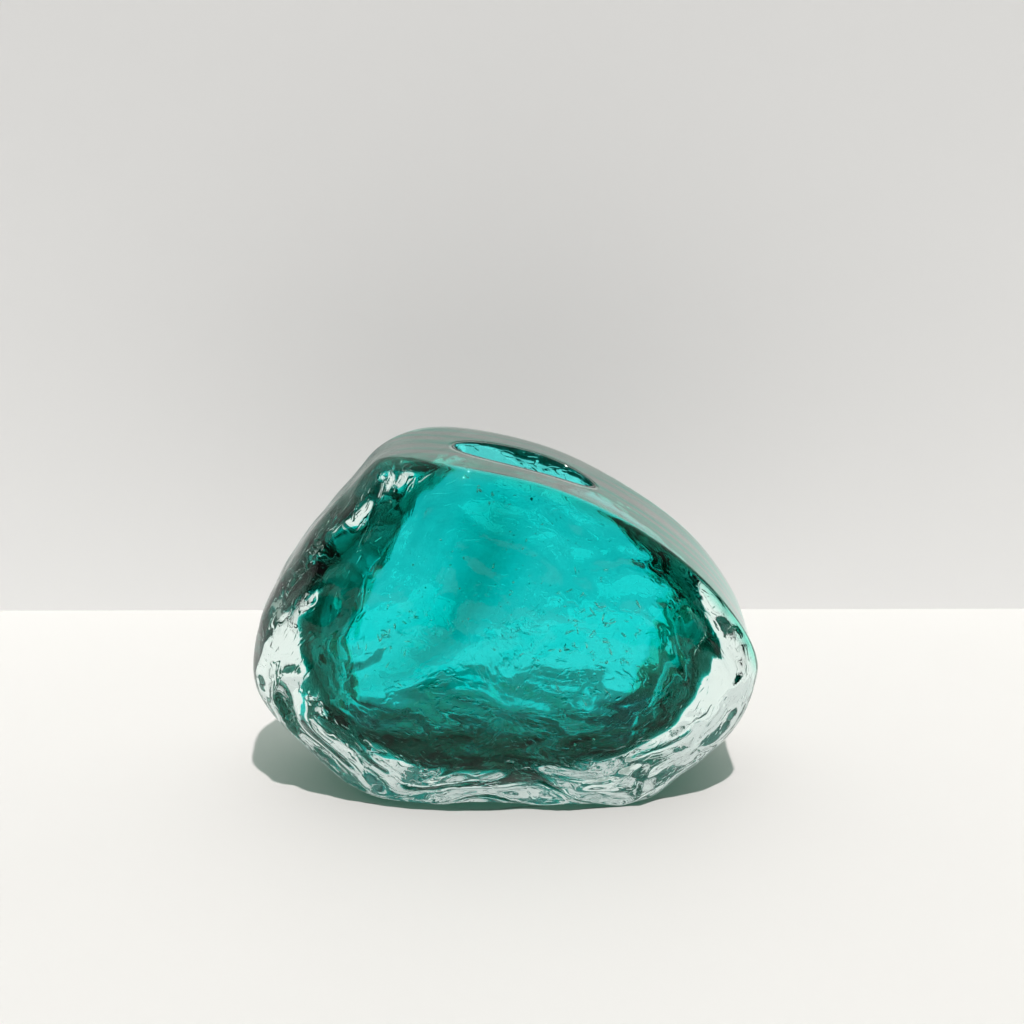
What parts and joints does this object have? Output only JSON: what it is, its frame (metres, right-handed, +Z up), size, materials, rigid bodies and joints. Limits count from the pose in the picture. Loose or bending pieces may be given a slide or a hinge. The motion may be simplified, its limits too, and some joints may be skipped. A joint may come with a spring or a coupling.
{
  "type": "hand blown art glass vase",
  "caption": "Lopsided boulder of thick clear glass round a turquoise bubble, with a sloping polished ribbon along its top where an oval mouth opens for stems.",
  "frame": {"origin": "centre of the bounding box at the bottom, on the plane that the ground base rests on", "axes": "+X to the right along the longest side, down the long slope of the polished ribbon; +Y to the back; +Z up"},
  "size_m": [0.26, 0.1328, 0.18],
  "materials": {
    "clear_glass": "clear glass, rippled sides, cut and polished top, ground base",
    "turquoise_glass": "thin turquoise glass, fire polished inside"
  },
  "bodies": {
    "root": {"clear_casing": "clear_glass", "turquoise_lining": "turquoise_glass"}
  },
  "joints": []
}
